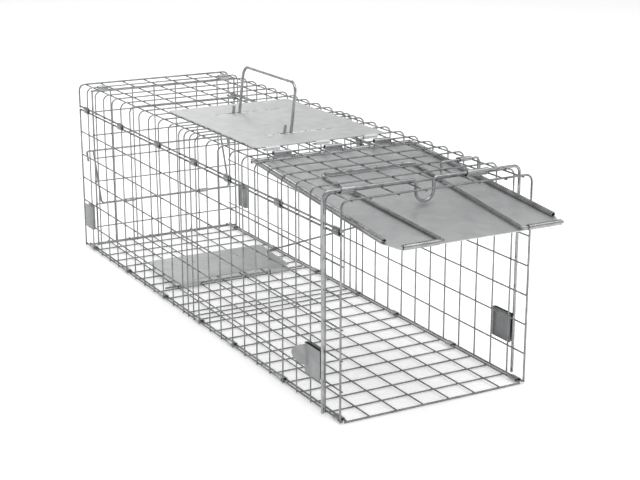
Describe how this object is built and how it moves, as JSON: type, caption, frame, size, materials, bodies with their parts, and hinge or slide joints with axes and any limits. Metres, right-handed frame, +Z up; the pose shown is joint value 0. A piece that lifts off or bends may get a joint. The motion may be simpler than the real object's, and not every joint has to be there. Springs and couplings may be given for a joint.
{
  "type": "live catch trap",
  "caption": "Folding wire-mesh live animal cage trap with a drop door held open by a pedal trigger, a strut lock frame, a rear door and a fold-down carry handle.",
  "frame": {"origin": "middle of the outline over the ground, at the underside of the floor wires", "axes": "+Z up, the entrance faces -Y, the cage runs along Y, +X to the right seen from the entrance looking in"},
  "size_m": [0.2854, 0.9006, 0.3268],
  "materials": {
    "galvanised_wire": "galvanised, dull bright",
    "galvanised_sheet": "galvanised sheet, light grey",
    "door_sheet": "galvanised sheet, satin",
    "bright_rod": "zinc plated wire, bright",
    "folded_clip": "zinc plated strip"
  },
  "bodies": {
    "cage": {"door_hinge_rod": "bright_rod", "door_hinge_strap_1": "folded_clip", "door_hinge_strap_2": "folded_clip", "door_hinge_strap_3": "folded_clip", "floor_panel": "galvanised_wire", "front_hoop_sleeve_1": "folded_clip", "front_hoop_sleeve_2": "folded_clip", "left_floor_clip_1": "folded_clip", "left_floor_clip_2": "folded_clip", "left_floor_clip_3": "folded_clip", "left_floor_clip_4": "folded_clip", "left_floor_clip_5": "folded_clip", "left_floor_clip_6": "folded_clip", "left_floor_clip_7": "folded_clip", "left_front_catch": "folded_clip", "left_rear_catch": "folded_clip", "left_seam_clip_1": "folded_clip", "left_seam_clip_2": "folded_clip", "left_seam_clip_3": "folded_clip", "left_seam_clip_4": "folded_clip", "left_seam_clip_5": "folded_clip", "left_seam_clip_6": "folded_clip", "left_seam_clip_7": "folded_clip", "left_side_panel": "galvanised_wire", "pedal_axle": "bright_rod", "rear_door_sleeve_1": "folded_clip", "rear_door_sleeve_2": "folded_clip", "right_floor_clip_1": "folded_clip", "right_floor_clip_2": "folded_clip", "right_floor_clip_3": "folded_clip", "right_floor_clip_4": "folded_clip", "right_floor_clip_5": "folded_clip", "right_floor_clip_6": "folded_clip", "right_floor_clip_7": "folded_clip", "right_front_catch": "folded_clip", "right_rear_catch": "folded_clip", "right_seam_clip_1": "folded_clip", "right_seam_clip_2": "folded_clip", "right_seam_clip_3": "folded_clip", "right_seam_clip_4": "folded_clip", "right_seam_clip_5": "folded_clip", "right_seam_clip_6": "folded_clip", "right_seam_clip_7": "folded_clip", "right_side_panel": "galvanised_wire", "roof_panel": "galvanised_wire", "roof_plate": "galvanised_sheet", "trigger_sleeve": "folded_clip"},
    "door": {"drop_door": "door_sheet"},
    "lock": {"lock_frame": "bright_rod"},
    "hoop": {"front_hoop": "bright_rod"},
    "handle": {"carry_handle": "bright_rod"},
    "pedal_plate": {"pedal": "galvanised_sheet"},
    "crank": {"trigger_crank": "bright_rod"},
    "rod": {"trigger_rod": "bright_rod"},
    "rear_gate": {"rear_door": "galvanised_wire", "rear_brace_tube_1": "folded_clip", "rear_brace_tube_2": "folded_clip"},
    "brace": {"rear_brace": "bright_rod"}
  },
  "joints": [
    {"name": "door_hinge", "type": "hinge", "parent": "cage", "child": "door", "pos_m": [0, -0.1198, 0.2515], "axis": [1, 0, 0], "range_deg": [0, 43]},
    {"name": "lock_frame_hinge", "type": "hinge", "parent": "door", "child": "lock", "pos_m": [0, -0.44689, 0.22522], "axis": [1, 0, 0], "range_deg": [0, 16.5]},
    {"name": "front_hoop_swing", "type": "hinge", "parent": "cage", "child": "hoop", "pos_m": [0, -0.33012, 0.26195], "axis": [1, 0, 0], "range_deg": [-170, 0]},
    {"name": "handle_fold", "type": "hinge", "parent": "cage", "child": "handle", "pos_m": [-0.018, 0.04393, 0.25645], "axis": [0, 1, 0], "range_deg": [-80, 70]},
    {"name": "pedal_press", "type": "hinge", "parent": "cage", "child": "pedal_plate", "pos_m": [0, 0.16869, 0.0063], "axis": [1, 0, 0], "range_deg": [-4, 0]},
    {"name": "trigger_crank_turn", "type": "hinge", "parent": "cage", "child": "crank", "pos_m": [0.1, -0.26268, 0.25935], "axis": [1, 0, 0], "range_deg": [0, 2.4]},
    {"name": "trigger_rod_swing", "type": "hinge", "parent": "crank", "child": "rod", "pos_m": [0.1207, -0.26268, 0.21535], "axis": [1, 0, 0], "range_deg": [-2.9, 0]},
    {"name": "rear_door_swing", "type": "hinge", "parent": "cage", "child": "rear_gate", "pos_m": [0, 0.41448, 0.25335], "axis": [1, 0, 0], "range_deg": [0, 85]},
    {"name": "rear_brace_swing", "type": "hinge", "parent": "rear_gate", "child": "brace", "pos_m": [0, 0.41778, 0.07525], "axis": [1, 0, 0], "range_deg": [-100, 14]}
  ],
  "couplings": [
    {"joint": "lock_frame_hinge", "follows": "door_hinge", "ratio": 0.38},
    {"joint": "trigger_crank_turn", "follows": "pedal_press", "ratio": -0.57},
    {"joint": "trigger_rod_swing", "follows": "pedal_press", "ratio": 0.69}
  ]
}
